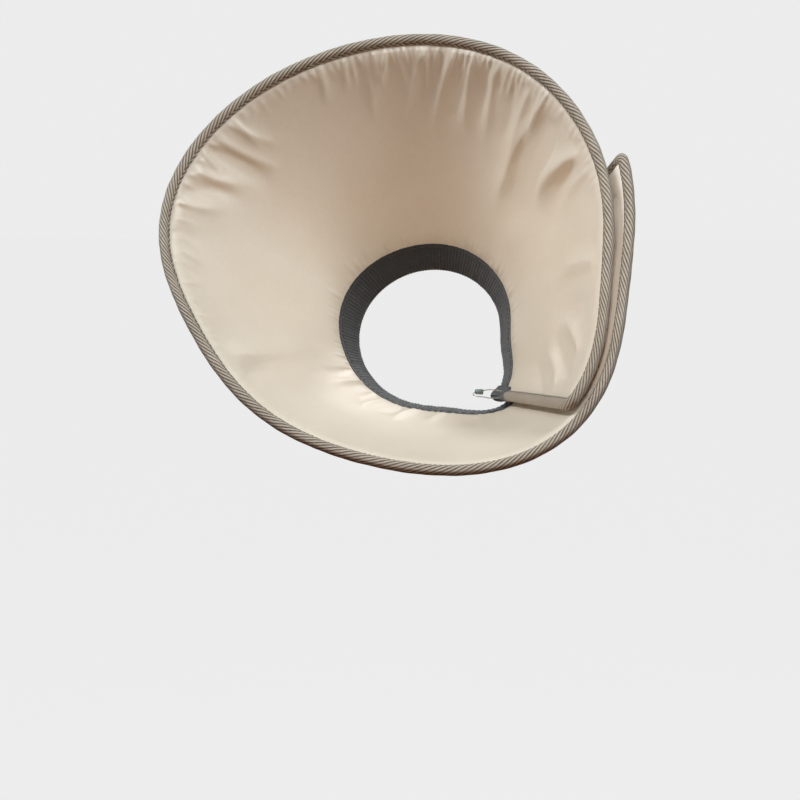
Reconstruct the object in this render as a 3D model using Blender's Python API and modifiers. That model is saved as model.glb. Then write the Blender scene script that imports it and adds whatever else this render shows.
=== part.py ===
"""Wrap-around padded recovery collar (elizabethan collar) for a small dog.

One fan-shaped padded panel is wrapped round the neck into a cone, and its two
ends overlap and close with hook-and-loop strips.  The panel is modelled in a
cone frame: local Z runs along the cone from neck to mouth, local Y points to
the collar's top and local X to the viewer's right.  An empty tilts that frame
into the worn position, so the mouth faces -Y and looks up a little.

A point of the panel has three coordinates: its azimuth along the panel in
degrees, counted clockwise from the outer free end, its slant distance from the
neck edge, and its offset outwards from the middle of the padding.
"""

import math

import bmesh
import bpy
from mathutils import Matrix, Vector

# Driving dimensions, in metres and degrees.
NECK_RADIUS = 0.046
SLANT = 0.152
FLARE = 36.0
MOUTH_TILT = 28.5
PANEL_START = 64.0
PANEL_TURN = 434.0
SPIRAL_STEP = 0.0116
FLAP_FLARE = 1.8
FLAP_FLARE_REACH = 60.0
# Soft waves of the rim: how many there are, how far they lean, where one peaks.
RIM_WAVES = ((1, 6.0, 301.0), (2, 4.2, 145.0), (3, 2.1, 41.0), (4, 0.8, 30.0), (5, 0.9, 5.0))
# At the closure the neck edge bulges outwards, and the cone is that much steeper there.
CLOSURE_BULGE = 0.016
CLOSURE_STEEPER = 3.9
CLOSURE_CLOCK = 134.0
CLOSURE_SHARPNESS = 12

# Where the panel bends when it is unwrapped, as panel azimuths.
OUTER_BEND = 85.0
LOWER_BEND = 185.0
INNER_BEND = 350.0
BEND_GAP = 0.25
HINGE_OFFSET = 0.0032

# Layers of the panel.
GAP = 0.0003
FABRIC = 0.0007
PADDING_HALF = 0.0014
PADDING_HALF_AT_EDGE = 0.0002
EDGE_THIN = 0.0095
EDGE_FULL = 0.014
EDGE_INSET = 0.0028
FOAM_INSET = 0.0155
CUFF_WIDTH = 0.018
CUFF_SKIN = 0.0011

# Binding tape folded over the rim and the two straight ends.
TAPE = 0.0008
TAPE_FOLD = ((7.2, 2.3), (2.0, 2.3), (0.9, 1.8), (0.4, 0.0), (0.9, -1.8), (2.0, -2.3), (7.2, -2.3))
INNER_CORNER_RADIUS = 0.009
OUTER_CORNER_RADIUS = 0.008
TAB_LENGTH = 0.012

# Knitted cuff folded double round the neck edge, with elastic in its fold.
CUFF_FOLD = ((17.7, 1.85), (2.4, 1.85), (0.9, 1.3), (0.55, 0.0), (0.9, -1.3), (2.4, -1.85), (17.7, -1.85))
ELASTIC_THICKNESS = 0.0014
ELASTIC_FROM = 0.003
ELASTIC_TO = 0.013

# Closure strips, as panel azimuths and slant distances.
STRIP = 0.0008
STRIP_FROM = 0.036
STRIP_TO = 0.122
HOOK_STRIPS = (("hook_strip_end", 9.0, 20.0), ("hook_strip_middle", 30.0, 41.0))
LOOP_STRIP = ("loop_strip", 364.0, 406.0)

# Loop pin at the neck corner of the inner end.
PIN_HEAD = (0.0050, 0.0030, 0.0026)
PIN_FILAMENT_RADIUS = 0.0003
PIN_CLEARANCE = 0.0010
PIN_SLANT = 0.021

COLUMN_STEP = 7.0
MM = 0.001


def material(name, color, roughness):
    """A Principled material of one colour."""
    made = bpy.data.materials.new(name)
    made.use_nodes = True
    shader = made.node_tree.nodes["Principled BSDF"]
    shader.inputs["Base Color"].default_value = (*color, 1.0)
    shader.inputs["Roughness"].default_value = roughness
    shader.inputs["Metallic"].default_value = 0.0
    return made


def at_closure(azimuth):
    """1 at the middle of the closure, falling to 0 on both sides of it."""
    return max(0.0, math.cos(math.radians(PANEL_START + azimuth - CLOSURE_CLOCK))) ** CLOSURE_SHARPNESS


def half_angle(azimuth):
    """Local half-angle of the cone in radians: flare, rim waves and the outer flap's lift."""
    clock = PANEL_START + azimuth
    angle = FLARE - CLOSURE_STEEPER * at_closure(azimuth)
    for count, lean, peak in RIM_WAVES:
        angle += lean * math.cos(math.radians(count * (clock - peak)))
    angle += FLAP_FLARE * max(0.0, 1.0 - azimuth / FLAP_FLARE_REACH) ** 2
    return math.radians(angle)


def panel_radius(azimuth, slant, offset=0.0):
    """Distance from the neck's axis."""
    angle = half_angle(azimuth)
    neck = NECK_RADIUS + SPIRAL_STEP * (0.5 - azimuth / PANEL_TURN)
    neck += CLOSURE_BULGE * at_closure(azimuth)
    return neck + slant * math.sin(angle) + offset * math.cos(angle)


def on_panel(azimuth, slant, offset=0.0):
    """A point of the panel in the cone frame."""
    angle = half_angle(azimuth)
    clock = math.radians(PANEL_START + azimuth)
    radius = panel_radius(azimuth, slant, offset)
    height = slant * math.cos(angle) - offset * math.sin(angle)
    return Vector((radius * math.sin(clock), radius * math.cos(clock), height))


def padding_half(edge_distance):
    """Half the room between the cloths: the padding's own, and less where it stops near an edge."""
    share = (edge_distance - EDGE_THIN) / (EDGE_FULL - EDGE_THIN)
    share = min(1.0, max(0.0, share))
    return PADDING_HALF_AT_EDGE + (PADDING_HALF - PADDING_HALF_AT_EDGE) * share


class Stretch:
    """A stretch of the panel between two bends, turning as one body."""

    def __init__(self, name, start, end):
        self.name = name
        self.start = start + BEND_GAP
        self.end = end - BEND_GAP

    def plain_turns(self, start, end, spacing=COLUMN_STEP):
        """Azimuths spaced about one column step apart."""
        steps = max(1, round((end - start) / spacing))
        return [start + (end - start) * step / steps for step in range(steps + 1)]

    def columns(self, inset):
        """(azimuth at a slant, distance from the free end) for each column of a layer."""
        return [(lambda slant, turn=turn: turn, SLANT) for turn in self.plain_turns(self.start, self.end)]

    def rim_drop(self, distance, inset):
        """How far a rounded corner lowers the last row of a layer set in from the edge."""
        return 0.0

    def tape_path(self):
        """For each station of the rim tape, a function from the distance inwards to the panel."""
        turns = self.plain_turns(self.start, self.end)
        return [lambda across, turn=turn: (turn, SLANT - across) for turn in turns]


class Flap(Stretch):
    """A stretch with a free end, whose rim corner is rounded."""

    def __init__(self, name, bend, free_end, corner):
        super().__init__(name, min(bend, free_end), max(bend, free_end))
        self.free_end = free_end
        self.corner = corner
        self.inwards = 1.0 if bend > free_end else -1.0
        self.bend = bend - self.inwards * BEND_GAP

    def from_end(self, distance, slant):
        """Azimuth at a distance from the straight free end, measured along the cloth."""
        radius = panel_radius(self.free_end, slant)
        return self.free_end + self.inwards * math.degrees(distance / radius)

    def rim_drop(self, distance, inset):
        radius = max(0.0, self.corner - inset)
        missing = min(radius, max(0.0, self.corner - distance))
        return radius - math.sqrt(radius ** 2 - missing ** 2)

    def columns(self, inset):
        reach = math.radians(abs(self.bend - self.free_end)) * panel_radius(self.free_end, SLANT)
        near = (inset, inset + (self.corner - inset) * 0.35, self.corner, EDGE_THIN, EDGE_FULL)
        near = [place for place in near if place >= inset]
        found = [(lambda slant, place=place: self.from_end(place, slant), place) for place in near]
        steps = round((reach - EDGE_FULL) / (SLANT * 0.07))
        for step in range(1, steps + 1):
            found.append((self.fanned(step / steps), EDGE_FULL + (reach - EDGE_FULL) * step / steps))
        return found

    def fanned(self, share):
        """Azimuth of a column that lies a share of the way from the free end to the bend."""

        def azimuth(slant):
            near = self.from_end(EDGE_FULL, slant)
            return near + (self.bend - near) * share

        return azimuth

    def tape_path(self):
        corner_turn = self.from_end(self.corner, SLANT)
        turns = self.plain_turns(*sorted((self.bend, corner_turn)), COLUMN_STEP / 2)
        if self.inwards > 0:
            turns.reverse()
        path = [lambda across, turn=turn: (turn, SLANT - across) for turn in turns]
        for step in range(1, 7):
            path.append(self.corner_station(math.radians(90 * step / 6)))
        stop = CUFF_WIDTH + GAP + TAB_LENGTH
        start = SLANT - self.corner
        for step in range(1, 7):
            path.append(self.end_station(start + (stop - start) * step / 6))
        return path

    def corner_station(self, turned):
        """A tape station on the rounded corner, turned from the rim towards the end."""

        def place(across):
            radius = self.corner - across
            distance = self.corner - radius * math.sin(turned)
            slant = SLANT - self.corner + radius * math.cos(turned)
            return self.from_end(distance, slant), slant

        return place

    def end_station(self, slant):
        """A tape station on the straight free end."""
        return lambda across: (self.from_end(across, slant), slant)


OUTER_FLAP = Flap("outer_flap", OUTER_BEND, 0.0, OUTER_CORNER_RADIUS)
LOWER = Stretch("lower", OUTER_BEND, LOWER_BEND)
BACK = Stretch("back", LOWER_BEND, INNER_BEND)
INNER_FLAP = Flap("inner_flap", INNER_BEND, PANEL_TURN, INNER_CORNER_RADIUS)


def bent_grid(name, columns, rows, place):
    """A grid whose every vertex is moved to place(column, row)."""
    mesh = bpy.data.meshes.new(name)
    grid = bmesh.new()
    bmesh.ops.create_grid(grid, x_segments=columns - 1, y_segments=rows - 1, size=1.0)
    for vertex in grid.verts:
        column = round((vertex.co.x + 1.0) / 2.0 * (columns - 1))
        row = round((vertex.co.y + 1.0) / 2.0 * (rows - 1))
        vertex.co = place(column, row)
    bmesh.ops.recalc_face_normals(grid, faces=grid.faces)
    grid.to_mesh(mesh)
    grid.free()
    mesh.shade_smooth()
    return mesh


class Builder:
    """Puts named pieces in the collection, each on the empty of its body."""

    def __init__(self):
        self.group = bpy.data.collections.new("elizabethan_collar")
        bpy.context.scene.collection.children.link(self.group)
        tilt = Matrix.Rotation(math.radians(90.0 - MOUTH_TILT), 4, "X")
        self.cone = self.empty("cone_frame", tilt, None)
        self.rest = {self.cone: Matrix.Identity(4)}

    def empty(self, name, matrix, parent):
        made = bpy.data.objects.new(name, None)
        made.empty_display_size = 0.02
        self.group.objects.link(made)
        made.parent = parent
        made.matrix_basis = matrix
        return made

    def hinge(self, name, azimuth, parent):
        """An empty whose Z runs up the generator of the cone that the panel bends about."""
        foot = on_panel(azimuth, 0.0, HINGE_OFFSET)
        along = (on_panel(azimuth, SLANT, HINGE_OFFSET) - foot).normalized()
        place = Matrix.Translation(foot) @ along.to_track_quat("Z", "Y").to_matrix().to_4x4()
        made = self.empty(name, self.rest[parent].inverted() @ place, parent)
        self.rest[made] = place
        return made

    def add(self, name, data, paint, parent):
        data.materials.append(paint)
        piece = bpy.data.objects.new(name, data)
        self.group.objects.link(piece)
        piece.parent = parent
        piece.matrix_parent_inverse = self.rest[parent].inverted()
        return piece

    def cloth(self, name, mesh, thickness, paint, parent):
        """A piece of cloth: an open surface given its thickness, half to each side."""
        piece = self.add(name, mesh, paint, parent)
        solidify = piece.modifiers.new("thickness", "SOLIDIFY")
        solidify.thickness = thickness
        solidify.offset = 0.0
        solidify.use_even_offset = True
        return piece


def layer(build, name, stretch, side, thickness, inset, paint, parent):
    """Lining (side -1), padding (side 0) or outer shell (side 1) of a stretch of the panel."""
    columns = stretch.columns(inset)
    first = CUFF_WIDTH + GAP
    shares = (0.0, 0.3, 0.6, (SLANT - EDGE_FULL) / SLANT, (SLANT - EDGE_THIN) / SLANT, 1.0)

    def place(column, row):
        azimuth, distance = columns[column]
        last = SLANT - inset - stretch.rim_drop(distance, inset)
        slant = first + (last - first) * shares[row]
        edge = min(SLANT - slant, distance)
        offset = side * (padding_half(edge) + GAP + FABRIC / 2)
        return on_panel(azimuth(slant), slant, offset)

    mesh = bent_grid(name, len(columns), len(shares), place)
    return build.cloth(name, mesh, thickness, paint, parent)


def folded_tape(build, name, path, paint, parent):
    """Binding tape folded over the edge along a path of stations."""

    def place(column, row):
        across, offset = TAPE_FOLD[row]
        azimuth, slant = path[column](across * MM)
        return on_panel(azimuth, slant, offset * MM)

    mesh = bent_grid(name, len(path), len(TAPE_FOLD), place)
    return build.cloth(name, mesh, TAPE, paint, parent)


def corner_tab(build, name, flap, paint, parent):
    """Charcoal cover over the neck end of a flap's end tape."""
    start = CUFF_WIDTH + GAP
    stop = start + TAB_LENGTH - GAP
    path = [flap.end_station(start + (stop - start) * step / 2) for step in range(3)]
    return folded_tape(build, name, path, paint, parent)


def cuff(build, name, stretch, paint, parent):
    """Knitted cuff folded double round the neck edge."""
    turns = stretch.plain_turns(stretch.start, stretch.end)

    def place(column, row):
        slant, offset = CUFF_FOLD[row]
        return on_panel(turns[column], slant * MM, offset * MM)

    mesh = bent_grid(name, len(turns), len(CUFF_FOLD), place)
    return build.cloth(name, mesh, CUFF_SKIN, paint, parent)


def elastic(build, name, stretch, paint, parent):
    """Elastic band lying in the cuff's fold."""
    turns = stretch.plain_turns(stretch.start, stretch.end)
    slants = (ELASTIC_FROM, ELASTIC_TO)
    mesh = bent_grid(name, len(turns), 2, lambda column, row: on_panel(turns[column], slants[row]))
    return build.cloth(name, mesh, ELASTIC_THICKNESS, paint, parent)


def closure_strip(build, name, start, end, side, paint, parent):
    """A strip of hook or loop tape sewn flat on one face of the panel."""
    steps = max(2, round((end - start) / COLUMN_STEP))
    offset = side * (PADDING_HALF + 2 * GAP + FABRIC + STRIP / 2)
    slants = [STRIP_FROM + (STRIP_TO - STRIP_FROM) * step / 3 for step in range(4)]

    def place(column, row):
        return on_panel(start + (end - start) * column / steps, slants[row], offset)

    mesh = bent_grid(name, steps + 1, len(slants), place)
    return build.cloth(name, mesh, STRIP, paint, parent)


def loop_pin(build, head_paint, filament_paint, parent):
    """A small moulded head on a loop of nylon filament, let into the end tab."""
    face = on_panel(INNER_FLAP.from_end(0.0035, PIN_SLANT), PIN_SLANT, -0.0030)
    edge = on_panel(INNER_FLAP.from_end(-0.0007, PIN_SLANT), PIN_SLANT, 0.0)
    center = face + Vector((-0.0135, -0.0015, 0.0030))
    head = bpy.data.meshes.new("loop_pin_head")
    block = bmesh.new()
    bmesh.ops.create_cube(block, size=1.0)
    bmesh.ops.scale(block, vec=PIN_HEAD, verts=block.verts)
    bmesh.ops.translate(block, vec=center, verts=block.verts)
    block.to_mesh(head)
    block.free()
    piece = build.add("loop_pin_head", head, head_paint, parent)
    bevel = piece.modifiers.new("edges", "BEVEL")
    bevel.width = 0.0005
    bevel.segments = 2
    half = Vector(PIN_HEAD) / 2
    clear = half.y + PIN_CLEARANCE
    bow = ((0.6, 1.0), (-0.4, 1.0), (-1.25, 0.75), (-1.45, 0.0), (-1.25, -0.75), (-0.4, -1.0), (0.6, -1.0))
    around = [center + Vector((half.x * across, clear * up, 0.0)) for across, up in bow]
    route = [face, face.lerp(around[0], 0.5) + Vector((0.0, 0.0008, 0.0006))]
    route += around
    route += [around[-1].lerp(edge, 0.5) + Vector((0.0, -0.0022, 0.0)), edge]
    curve = bpy.data.curves.new("loop_pin_filament", "CURVE")
    curve.dimensions = "3D"
    curve.bevel_depth = PIN_FILAMENT_RADIUS
    curve.bevel_resolution = 2
    curve.use_fill_caps = True
    spline = curve.splines.new("POLY")
    spline.points.add(len(route) - 1)
    for point, spot in zip(spline.points, route):
        point.co = (*spot, 1.0)
    build.add("loop_pin_filament", curve, filament_paint, parent)


def main():
    for leftover in list(bpy.data.objects):
        bpy.data.objects.remove(leftover)
    build = Builder()
    lower_hinge = build.hinge("lower_bend", LOWER_BEND, build.cone)
    outer_hinge = build.hinge("outer_bend", OUTER_BEND, lower_hinge)
    inner_hinge = build.hinge("inner_bend", INNER_BEND, build.cone)
    cream = material("cream_lining", (0.80, 0.73, 0.62), 0.55)
    beige = material("beige_shell", (0.72, 0.64, 0.53), 0.65)
    foam = material("white_foam", (0.86, 0.85, 0.80), 0.9)
    taupe = material("taupe_twill_tape", (0.30, 0.25, 0.20), 0.8)
    charcoal = material("charcoal_knit", (0.05, 0.045, 0.045), 0.9)
    rubber = material("elastic_band", (0.75, 0.73, 0.70), 0.8)
    hooks = material("hook_tape", (0.33, 0.28, 0.23), 0.7)
    loops = material("loop_tape", (0.38, 0.33, 0.27), 0.95)
    plastic = material("grey_green_plastic", (0.25, 0.29, 0.25), 0.4)
    nylon = material("clear_nylon", (0.85, 0.83, 0.78), 0.3)
    bodies = ((BACK, build.cone), (LOWER, lower_hinge), (OUTER_FLAP, outer_hinge), (INNER_FLAP, inner_hinge))
    for stretch, parent in bodies:
        layer(build, "lining_" + stretch.name, stretch, -1, FABRIC, EDGE_INSET, cream, parent)
        layer(build, "padding_" + stretch.name, stretch, 0, 2 * PADDING_HALF, FOAM_INSET, foam, parent)
        layer(build, "outer_shell_" + stretch.name, stretch, 1, FABRIC, EDGE_INSET, beige, parent)
        folded_tape(build, "edge_tape_" + stretch.name, stretch.tape_path(), taupe, parent)
        cuff(build, "neck_cuff_" + stretch.name, stretch, charcoal, parent)
        elastic(build, "neck_elastic_" + stretch.name, stretch, rubber, parent)
    corner_tab(build, "corner_tab_outer", OUTER_FLAP, charcoal, outer_hinge)
    corner_tab(build, "corner_tab_inner", INNER_FLAP, charcoal, inner_hinge)
    for name, start, end in HOOK_STRIPS:
        closure_strip(build, name, start, end, -1, hooks, outer_hinge)
    name, start, end = LOOP_STRIP
    closure_strip(build, name, start, end, 1, loops, inner_hinge)
    loop_pin(build, plastic, nylon, inner_hinge)


main()
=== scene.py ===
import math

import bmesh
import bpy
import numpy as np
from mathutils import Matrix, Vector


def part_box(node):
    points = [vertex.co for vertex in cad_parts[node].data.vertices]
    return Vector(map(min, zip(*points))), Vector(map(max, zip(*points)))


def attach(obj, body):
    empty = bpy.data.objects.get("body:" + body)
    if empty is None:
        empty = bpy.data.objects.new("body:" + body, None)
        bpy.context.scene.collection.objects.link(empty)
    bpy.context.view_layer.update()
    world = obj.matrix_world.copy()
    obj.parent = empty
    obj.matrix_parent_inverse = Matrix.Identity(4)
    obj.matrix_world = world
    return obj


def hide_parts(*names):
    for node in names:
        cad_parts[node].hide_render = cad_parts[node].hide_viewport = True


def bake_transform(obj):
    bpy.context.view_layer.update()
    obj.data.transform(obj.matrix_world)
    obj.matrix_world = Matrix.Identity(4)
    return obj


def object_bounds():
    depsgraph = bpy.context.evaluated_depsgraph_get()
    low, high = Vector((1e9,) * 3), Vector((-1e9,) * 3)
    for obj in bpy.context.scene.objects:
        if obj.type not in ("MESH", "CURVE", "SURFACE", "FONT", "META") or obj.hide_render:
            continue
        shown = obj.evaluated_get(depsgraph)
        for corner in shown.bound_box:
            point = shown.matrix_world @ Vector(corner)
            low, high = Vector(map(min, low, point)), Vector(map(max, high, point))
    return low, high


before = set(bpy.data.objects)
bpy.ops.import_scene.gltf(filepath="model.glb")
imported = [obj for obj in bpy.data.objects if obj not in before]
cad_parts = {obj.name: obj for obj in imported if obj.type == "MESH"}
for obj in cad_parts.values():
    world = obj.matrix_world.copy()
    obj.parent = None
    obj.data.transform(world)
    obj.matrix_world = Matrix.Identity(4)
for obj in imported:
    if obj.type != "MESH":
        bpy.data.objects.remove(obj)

# Looks of the wrap-around padded recovery collar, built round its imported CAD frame.
#
# Every piece is laid out on the panel's own surface.  A point of the panel has an
# azimuth along it in degrees, clockwise from the outer free end, a slant distance
# from the neck edge, and an offset outwards from the middle of the padding.

CAD_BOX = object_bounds()

# The panel's dimensions, as in the CAD model, in metres and degrees.
NECK_RADIUS = 0.046
SLANT = 0.152
FLARE = 36.0
MOUTH_TILT = 28.5
PANEL_START = 64.0
PANEL_TURN = 434.0
SPIRAL_STEP = 0.0116
FLAP_FLARE = 1.8
FLAP_FLARE_REACH = 60.0
RIM_WAVES = ((1, 6.0, 301.0), (2, 4.2, 145.0), (3, 2.1, 41.0), (4, 0.8, 30.0), (5, 0.9, 5.0))
CLOSURE_BULGE = 0.016
CLOSURE_STEEPER = 3.9
CLOSURE_CLOCK = 134.0
CLOSURE_SHARPNESS = 12
HINGE_OFFSET = 0.0032
CUFF_WIDTH = 0.018
INNER_CORNER = 0.009
OUTER_CORNER = 0.008
TAB_LENGTH = 0.012
MM = 0.001
RIM_RADIUS = 0.14  # nominal, for spacing columns round the panel
SEAMS = (135.0, 267.0)

# Pieces of a layer: where each starts and ends, its bend, and the bodies before and after it.
STRETCHES = (
    ("right", 0.0, SEAMS[0], 85.0, "outer_flap", "lower"),
    ("bottom", SEAMS[0], SEAMS[1], 185.0, "lower", "back"),
    ("top", SEAMS[1], PANEL_TURN, 350.0, "back", "inner_flap"),
)
# The parts of a CAD layer that each piece stands for.
REPLACED = {"right": ("outer_flap", "lower"), "bottom": ("back",), "top": ("inner_flap",)}


def at_closure(azimuth):
    return np.maximum(0.0, np.cos(np.radians(PANEL_START + azimuth - CLOSURE_CLOCK))) ** CLOSURE_SHARPNESS


def half_angle(azimuth):
    clock = PANEL_START + azimuth
    angle = FLARE - CLOSURE_STEEPER * at_closure(azimuth)
    for count, lean, peak in RIM_WAVES:
        angle = angle + lean * np.cos(np.radians(count * (clock - peak)))
    return np.radians(angle + FLAP_FLARE * np.maximum(0.0, 1.0 - azimuth / FLAP_FLARE_REACH) ** 2)


def panel_radius(azimuth, slant, offset=0.0):
    angle = half_angle(azimuth)
    neck = NECK_RADIUS + SPIRAL_STEP * (0.5 - azimuth / PANEL_TURN) + CLOSURE_BULGE * at_closure(azimuth)
    return neck + slant * np.sin(angle) + offset * np.cos(angle)


def tilted(points):
    """Points of the cone's own frame in the part's frame."""
    turn = math.radians(90.0 - MOUTH_TILT)
    x, y, z = points[..., 0], points[..., 1], points[..., 2]
    down, up = math.sin(turn), math.cos(turn)
    return np.stack([x, up * y - down * z, down * y + up * z], axis=-1)


def on_panel(azimuth, slant, offset=0.0):
    """Points of the panel in the part's frame, from numbers or arrays."""
    azimuth, slant, offset = np.broadcast_arrays(*(np.asarray(v, float) for v in (azimuth, slant, offset)))
    angle = half_angle(azimuth)
    clock = np.radians(PANEL_START + azimuth)
    radius = panel_radius(azimuth, slant, offset)
    height = slant * np.cos(angle) - offset * np.sin(angle)
    return tilted(np.stack([radius * np.sin(clock), radius * np.cos(clock), height], axis=-1))


def from_end(free_end, distance, slant):
    """Azimuth at a distance along the cloth from a straight free end."""
    inwards = 1.0 if free_end == 0.0 else -1.0
    return free_end + inwards * np.degrees(distance / panel_radius(free_end, slant))


def blended(piece, stretch):
    """Bakes a piece's transform into its mesh; the axes of its stretch's bend are worked out, but the piece
    doesn't bend with them.
    """
    name, start, end, bend, before, after = stretch
    middle = Vector(on_panel(bend, SLANT * 0.5, HINGE_OFFSET))
    along = Vector(on_panel(bend, SLANT, HINGE_OFFSET) - on_panel(bend, 0.0, HINGE_OFFSET))
    before_bend, after_bend = (on_panel(bend + side, SLANT * 0.5, HINGE_OFFSET) for side in (-0.5, 0.5))
    ahead = Vector(after_bend - before_bend)
    ahead = (ahead - ahead.project(along)).normalized()
    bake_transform(piece)


def keep(piece, stretch, layer):
    """Bakes a layer's piece in place and hides the layer's nodes that it stands for."""
    blended(piece, stretch)
    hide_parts(*(layer + "_" + node for node in REPLACED[stretch[0]]))


def fixed(piece, body, slot, *replaced):
    """Fixes a piece to one body and hides the nodes it stands for, if any."""
    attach(piece, body)
    if replaced:
        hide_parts(*replaced)


# ---------- mesh code


def in_scene(name, data):
    """A new object in the scene."""
    made = bpy.data.objects.new(name, data)
    bpy.context.scene.collection.objects.link(made)
    return made


def grid_mesh(name, points, across, material, closed=False):
    """A quad mesh over points[column, row], with the uv map across[column, row] in metres."""
    columns, rows = points.shape[:2]
    index = np.arange(columns * rows).reshape(columns, rows)
    last = rows if closed else rows - 1
    a = index[:-1, :last]
    b = index[1:, :last]
    c = np.roll(index, -1, axis=1)[1:, :last]
    d = np.roll(index, -1, axis=1)[:-1, :last]
    faces = np.stack([a, b, c, d], axis=-1).reshape(-1, 4)
    mesh = bpy.data.meshes.new(name)
    mesh.from_pydata(points.reshape(-1, 3).tolist(), [], faces.tolist())
    uv = mesh.uv_layers.new(name="UVMap")
    if closed:
        across = np.concatenate([across, across[:, -1:] * 2 - across[:, -2:-1]], axis=1)
        wide = np.arange(columns * (rows + 1)).reshape(columns, rows + 1)
        corner = np.stack([wide[:-1, :-1], wide[1:, :-1], wide[1:, 1:], wide[:-1, 1:]], axis=-1).reshape(-1)
    else:
        corner = faces.reshape(-1)
    uv.data.foreach_set("uv", across.reshape(-1, 2)[corner].astype(np.float32).ravel())
    mesh.materials.append(material)
    mesh.shade_smooth()
    return in_scene(name, mesh)


def joined_mesh(name, blocks, material):
    """One mesh of many small blocks, each a pair of (points, faces)."""
    points, faces, count = [], [], 0
    for block_points, block_faces in blocks:
        points.append(block_points)
        faces += [[corner + count for corner in face] for face in block_faces]
        count += len(block_points)
    mesh = bpy.data.meshes.new(name)
    mesh.from_pydata(np.concatenate(points).tolist(), [], faces)
    mesh.materials.append(material)
    mesh.shade_smooth()
    return in_scene(name, mesh)


def bead(path, radius, normals, sides=5):
    """A tapered bead along a short path: one stitch of thread."""
    path = np.asarray(path, float)
    count = len(path)
    tangent = np.gradient(path, axis=0)
    tangent /= np.linalg.norm(tangent, axis=1)[:, None]
    side = np.cross(tangent, np.asarray(normals, float))
    side /= np.linalg.norm(side, axis=1)[:, None]
    up = np.cross(side, tangent)
    place = np.linspace(-1.0, 1.0, count)
    width = radius * np.sqrt(np.maximum(0.0, 1.0 - np.abs(place) ** 5)).clip(0.35, 1.0)
    turn = np.arange(sides) * 2 * math.pi / sides
    ring = side[:, None] * np.cos(turn)[:, None] + up[:, None] * np.sin(turn)[:, None]
    points = (path[:, None] + ring * width[:, None, None]).reshape(-1, 3)
    points = np.concatenate([points, path[:1], path[-1:]])
    faces = []
    end = (count - 1) * sides
    for j in range(sides):
        k = (j + 1) % sides
        faces += [[i + j, i + k, i + sides + k, i + sides + j] for i in range(0, end, sides)]
        faces.append([count * sides, k, j])
        faces.append([count * sides + 1, end + j, end + k])
    return points, faces


def stitch(spots, side, level, arch, radius):
    """A stitch over four panel points, on one face of the cloth; level, arch and radius in mm."""
    heights = (level, level + arch, level + arch, level)
    path = [on_panel(*spot, side * height * MM) for spot, height in zip(spots, heights)]
    normals = [on_panel(*spot, side * (level + 1.0) * MM) - point for spot, point in zip(spots, path)]
    return bead(path, radius * MM, normals)


def whole_fold(half, edge):
    """Distances in, offsets and woven coordinate of a cloth folded over an edge, from one half in mm."""
    section = [(inwards, -offset) for inwards, offset in half] + [(edge, 0.0)] + list(half[::-1])
    across, offset = np.array(section).T * MM
    reach = np.concatenate([[0.0], np.cumsum(np.hypot(np.diff(across), np.diff(offset)))])
    return across, offset, reach


# ---------- materials


class Nodes:
    """Short-hand for building a node tree."""

    def __init__(self, tree):
        self.tree = tree

    def add(self, kind, **settings):
        node = self.tree.nodes.new("ShaderNode" + kind)
        for key, value in settings.items():
            setattr(node, key, value)
        return node

    def link(self, source, target):
        self.tree.links.new(source, target)

    def put(self, sockets, values):
        """Links or sets one socket after another."""
        for socket, value in zip(sockets, values):
            if isinstance(value, bpy.types.NodeSocket):
                self.link(value, socket)
            else:
                socket.default_value = value

    def dress(self, node, inputs):
        """Links or sets a node's inputs by name."""
        self.put([node.inputs[name] for name in inputs], inputs.values())

    def math(self, operation, *values):
        node = self.add("Math", operation=operation)
        self.put(node.inputs, values)
        return node.outputs[0]

    def times(self, a, b):
        return self.math("MULTIPLY", a, b)

    def fit(self, value, scale, shift):
        return self.math("MULTIPLY_ADD", value, scale, shift)

    def wave(self, value, period):
        """A smooth 0..1 wave of a coordinate in metres."""
        return self.fit(self.math("SINE", self.times(value, 2 * math.pi / period)), 0.5, 0.5)

    def uv(self):
        node = self.add("UVMap", uv_map="UVMap")
        split = self.add("SeparateXYZ")
        self.link(node.outputs[0], split.inputs[0])
        return split.outputs[0], split.outputs[1]

    def noise(self, scale, detail=2.0, roughness=0.5, vector=None):
        node = self.add("TexNoise")
        if vector is None:
            vector = self.add("TexCoord").outputs["Object"]
        self.dress(node, {"Scale": scale, "Detail": detail, "Roughness": roughness, "Vector": vector})
        return node.outputs["Fac"]

    def ramp(self, value, *stops):
        node = self.add("ValToRGB")
        elements = node.color_ramp.elements
        while len(elements) < len(stops):
            elements.new(0.5)
        for element, (place, color) in zip(elements, stops):
            element.position = place
            element.color = (*color, 1.0)
        self.link(value, node.inputs[0])
        return node.outputs[0]

    def mix(self, factor, color, second):
        """The color, mixed by a factor with a second one."""
        node = self.add("Mix", data_type="RGBA")
        self.put((node.inputs[0], node.inputs[6], node.inputs[7]), (factor, color, (*second, 1.0)))
        return node.outputs[2]

    def bump(self, height, distance, strength=1.0, normal=None):
        node = self.add("Bump")
        self.dress(node, {"Strength": strength, "Distance": distance, "Height": height})
        if normal is not None:
            self.link(normal, node.inputs["Normal"])
        return node.outputs[0]


def new_material(name):
    """A material, short-hand for its nodes, and its shader."""
    made = bpy.data.materials.new(name)
    made.use_nodes = True
    return made, Nodes(made.node_tree), made.node_tree.nodes["Principled BSDF"]


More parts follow.
